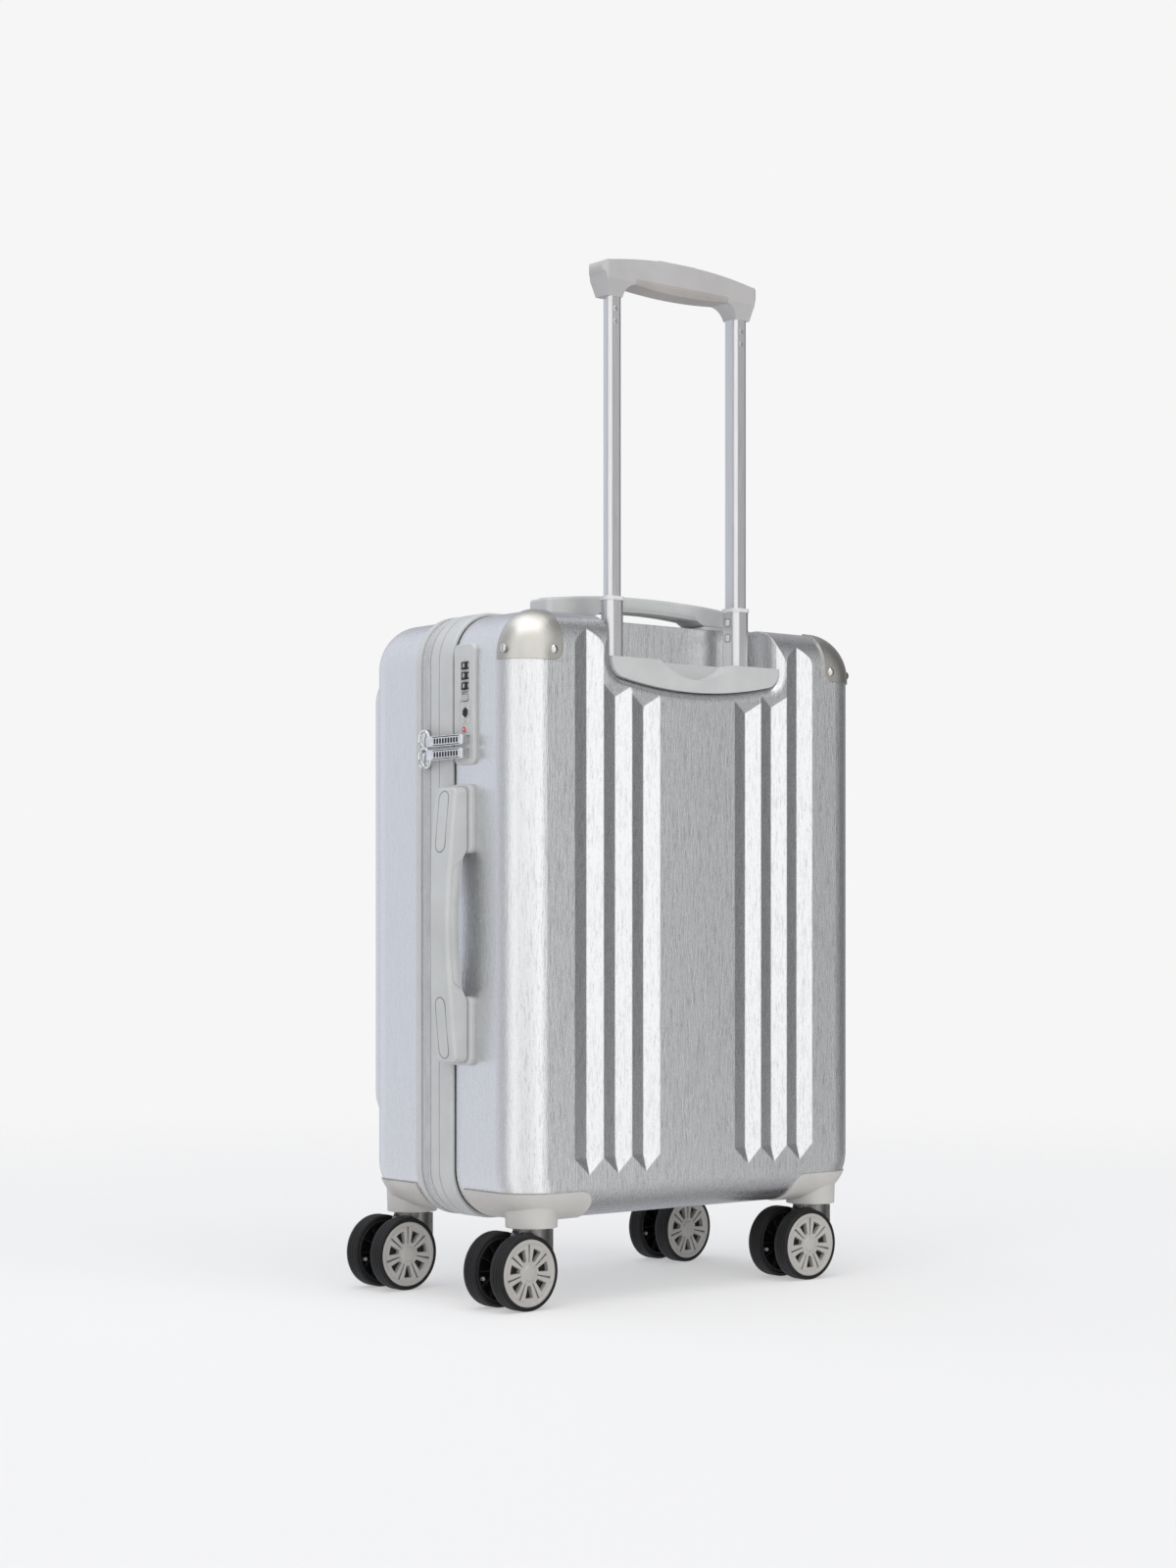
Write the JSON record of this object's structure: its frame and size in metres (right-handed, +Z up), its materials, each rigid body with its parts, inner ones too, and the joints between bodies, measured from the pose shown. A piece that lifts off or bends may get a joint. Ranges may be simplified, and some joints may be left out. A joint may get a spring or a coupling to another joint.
{
  "type": "hard shell suitcase on wheels",
  "caption": "Upright hard-shell cabin suitcase with swivel casters, telescopic trolley handle, top and side carry handles, zip with pulls and a side combination lock.",
  "frame": {"origin": "on the floor, under the middle of the overall bounding box", "axes": "+Z up; +Y the back face with the trolley handle; +X the side with the zip sliders, lock and side carry handle; the lid is on the -Y side and hinges at the -X side"},
  "size_m": [0.386, 0.2113, 0.8202],
  "materials": {
    "shell": "brushed metallic silver film",
    "trim_plastic": "satin light grey",
    "grip_plastic": "satin grey",
    "soft_grip": "matt warm grey",
    "zip_tape": "woven grey",
    "lining": "woven dark grey",
    "tube_aluminium": "satin anodised",
    "collar_plastic": "satin light grey",
    "guard_metal": "satin champagne",
    "fastener_steel": "polished",
    "zip_chrome": "polished",
    "dial_black": "black with white numerals",
    "lock_plastic": "satin light grey",
    "key_metal": "satin",
    "wheel_plastic": "satin light greige",
    "fork_plastic": "satin grey",
    "axle_steel": "turned",
    "tyre": "matt black"
  },
  "bodies": {
    "case_back": {"back_shell": "shell", "back_frame_band": "trim_plastic", "zip_tape_back": "zip_tape", "lock_plate": "lock_plastic", "corner_guards": "guard_metal", "guard_screws": "fastener_steel", "trolley_bezel": "trim_plastic", "trolley_outer_frame": "tube_aluminium", "lining_back": "lining", "lid_hinge_strip": "lining", "top_handle_mounts": "trim_plastic", "side_handle_mounts": "trim_plastic", "wheel_housings_back": "wheel_plastic"},
    "lid": {"front_shell": "shell", "front_rim": "trim_plastic", "zip_tape_front": "zip_tape", "lining_front": "lining", "wheel_housings_front": "wheel_plastic"},
    "trolley_middle": {"middle_tubes": "tube_aluminium", "tube_collars": "collar_plastic"},
    "trolley_grip": {"upper_tubes": "tube_aluminium", "grip": "grip_plastic", "grip_insert": "soft_grip", "grip_rivets": "fastener_steel"},
    "release_button": {"release_button": "grip_plastic"},
    "top_handle": {"top_handle": "trim_plastic"},
    "side_handle": {"side_handle": "trim_plastic"},
    "zip_slider_upper": {"zip_slider_upper": "zip_chrome"},
    "zip_slider_lower": {"zip_slider_lower": "zip_chrome"},
    "zip_pull_upper": {"zip_pull_upper": "zip_chrome"},
    "zip_pull_lower": {"zip_pull_lower": "zip_chrome"},
    "lock_dial_1": {"lock_dial_1": "dial_black"},
    "lock_dial_2": {"lock_dial_2": "dial_black"},
    "lock_dial_3": {"lock_dial_3": "dial_black"},
    "lock_button": {"lock_button": "lock_plastic"},
    "key_cylinder": {"key_cylinder": "key_metal"},
    "caster_back_a": {"caster_fork_back_a": "fork_plastic", "caster_axle_back_a": "axle_steel"},
    "wheel_back_a_rear": {"wheel_tyre_back_a_rear": "tyre", "wheel_hub_back_a_rear": "wheel_plastic"},
    "wheel_back_a_front": {"wheel_tyre_back_a_front": "tyre", "wheel_hub_back_a_front": "wheel_plastic"},
    "caster_back_b": {"caster_fork_back_b": "fork_plastic", "caster_axle_back_b": "axle_steel"},
    "wheel_back_b_rear": {"wheel_tyre_back_b_rear": "tyre", "wheel_hub_back_b_rear": "wheel_plastic"},
    "wheel_back_b_front": {"wheel_tyre_back_b_front": "tyre", "wheel_hub_back_b_front": "wheel_plastic"},
    "caster_front_a": {"caster_fork_front_a": "fork_plastic", "caster_axle_front_a": "axle_steel"},
    "wheel_front_a_rear": {"wheel_tyre_front_a_rear": "tyre", "wheel_hub_front_a_rear": "wheel_plastic"},
    "wheel_front_a_front": {"wheel_tyre_front_a_front": "tyre", "wheel_hub_front_a_front": "wheel_plastic"},
    "caster_front_b": {"caster_fork_front_b": "fork_plastic", "caster_axle_front_b": "axle_steel"},
    "wheel_front_b_rear": {"wheel_tyre_front_b_rear": "tyre", "wheel_hub_front_b_rear": "wheel_plastic"},
    "wheel_front_b_front": {"wheel_tyre_front_b_front": "tyre", "wheel_hub_front_b_front": "wheel_plastic"}
  },
  "joints": [
    {"name": "lid_hinge", "type": "hinge", "parent": "case_back", "child": "lid", "pos_m": [-0.1933, -0.0091, 0.3], "axis": [0, 0, -1], "range_deg": [0, 150]},
    {"name": "trolley_middle_slide", "type": "slide", "parent": "case_back", "child": "trolley_middle", "axis": [0, 0, 1], "range_m": [-0.046, 0.18]},
    {"name": "trolley_grip_slide", "type": "slide", "parent": "trolley_middle", "child": "trolley_grip", "axis": [0, 0, 1], "range_m": [-0.234, 0]},
    {"name": "release_button_push", "type": "slide", "parent": "trolley_grip", "child": "release_button", "axis": [0, 0, 1], "range_m": [-0.0022, 0], "stiffness_N_per_m": 1200, "springref_m": 0.001},
    {"name": "top_handle_lift", "type": "slide", "parent": "case_back", "child": "top_handle", "axis": [0, 0, 1], "range_m": [0, 0.012], "stiffness_N_per_m": 300, "springref_m": -0.004},
    {"name": "side_handle_pull", "type": "slide", "parent": "case_back", "child": "side_handle", "axis": [1, 0, 0], "range_m": [0, 0.012], "stiffness_N_per_m": 300, "springref_m": -0.004},
    {"name": "zip_slider_upper_run", "type": "slide", "parent": "case_back", "child": "zip_slider_upper", "axis": [0, 0, 1], "range_m": [0, 0.022]},
    {"name": "zip_slider_lower_run", "type": "slide", "parent": "case_back", "child": "zip_slider_lower", "axis": [0, 0, 1], "range_m": [-0.014, 0]},
    {"name": "zip_pull_upper_swing", "type": "hinge", "parent": "zip_slider_upper", "child": "zip_pull_upper", "pos_m": [0.18, -0.0091, 0.434], "axis": [0, 0, -1], "range_deg": [0, 165]},
    {"name": "zip_pull_lower_swing", "type": "hinge", "parent": "zip_slider_lower", "child": "zip_pull_lower", "pos_m": [0.18, -0.0091, 0.4236], "axis": [0, 0, -1], "range_deg": [0, 165]},
    {"name": "lock_dial_1_turn", "type": "hinge", "parent": "case_back", "child": "lock_dial_1", "pos_m": [0.1672, 0.03985, 0.491], "axis": [0, 0, 1], "continuous": true},
    {"name": "lock_dial_2_turn", "type": "hinge", "parent": "case_back", "child": "lock_dial_2", "pos_m": [0.1672, 0.03985, 0.4832], "axis": [0, 0, 1], "continuous": true},
    {"name": "lock_dial_3_turn", "type": "hinge", "parent": "case_back", "child": "lock_dial_3", "pos_m": [0.1672, 0.03985, 0.4754], "axis": [0, 0, 1], "continuous": true},
    {"name": "lock_button_slide", "type": "slide", "parent": "case_back", "child": "lock_button", "axis": [0, 0, 1], "range_m": [0, 0.0024], "stiffness_N_per_m": 100, "springref_m": -0.001},
    {"name": "key_turn", "type": "hinge", "parent": "case_back", "child": "key_cylinder", "pos_m": [0.173, 0.04035, 0.455], "axis": [1, 0, 0], "range_deg": [0, 90]},
    {"name": "caster_back_a_swivel", "type": "hinge", "parent": "case_back", "child": "caster_back_a", "pos_m": [0.1375, 0.07735, 0.055], "axis": [0, 0, 1], "continuous": true},
    {"name": "wheel_back_a_rear_spin", "type": "hinge", "parent": "caster_back_a", "child": "wheel_back_a_rear", "pos_m": [0.15766, 0.09393, 0.029], "axis": [-0.0523, 0.9986, 0], "continuous": true},
    {"name": "wheel_back_a_front_spin", "type": "hinge", "parent": "caster_back_a", "child": "wheel_back_a_front", "pos_m": [0.15928, 0.06297, 0.029], "axis": [-0.0523, 0.9986, 0], "continuous": true},
    {"name": "caster_back_b_swivel", "type": "hinge", "parent": "case_back", "child": "caster_back_b", "pos_m": [-0.1575, 0.07735, 0.055], "axis": [0, 0, 1], "continuous": true},
    {"name": "wheel_back_b_rear_spin", "type": "hinge", "parent": "caster_back_b", "child": "wheel_back_b_rear", "pos_m": [-0.1365, 0.09285, 0.029], "axis": [0, 1, 0], "continuous": true},
    {"name": "wheel_back_b_front_spin", "type": "hinge", "parent": "caster_back_b", "child": "wheel_back_b_front", "pos_m": [-0.1365, 0.06185, 0.029], "axis": [0, 1, 0], "continuous": true},
    {"name": "caster_front_a_swivel", "type": "hinge", "parent": "lid", "child": "caster_front_a", "pos_m": [0.1375, -0.07965, 0.055], "axis": [0, 0, 1], "continuous": true},
    {"name": "wheel_front_a_rear_spin", "type": "hinge", "parent": "caster_front_a", "child": "wheel_front_a_rear", "pos_m": [0.1578, -0.06325, 0.029], "axis": [-0.0436, 0.999, 0], "continuous": true},
    {"name": "wheel_front_a_front_spin", "type": "hinge", "parent": "caster_front_a", "child": "wheel_front_a_front", "pos_m": [0.15916, -0.09422, 0.029], "axis": [-0.0436, 0.999, 0], "continuous": true},
    {"name": "caster_front_b_swivel", "type": "hinge", "parent": "lid", "child": "caster_front_b", "pos_m": [-0.1575, -0.07965, 0.055], "axis": [0, 0, 1], "continuous": true},
    {"name": "wheel_front_b_rear_spin", "type": "hinge", "parent": "caster_front_b", "child": "wheel_front_b_rear", "pos_m": [-0.13823, -0.06204, 0.029], "axis": [-0.1045, 0.9945, 0], "continuous": true},
    {"name": "wheel_front_b_front_spin", "type": "hinge", "parent": "caster_front_b", "child": "wheel_front_b_front", "pos_m": [-0.135, -0.09287, 0.029], "axis": [-0.1045, 0.9945, 0], "continuous": true}
  ]
}
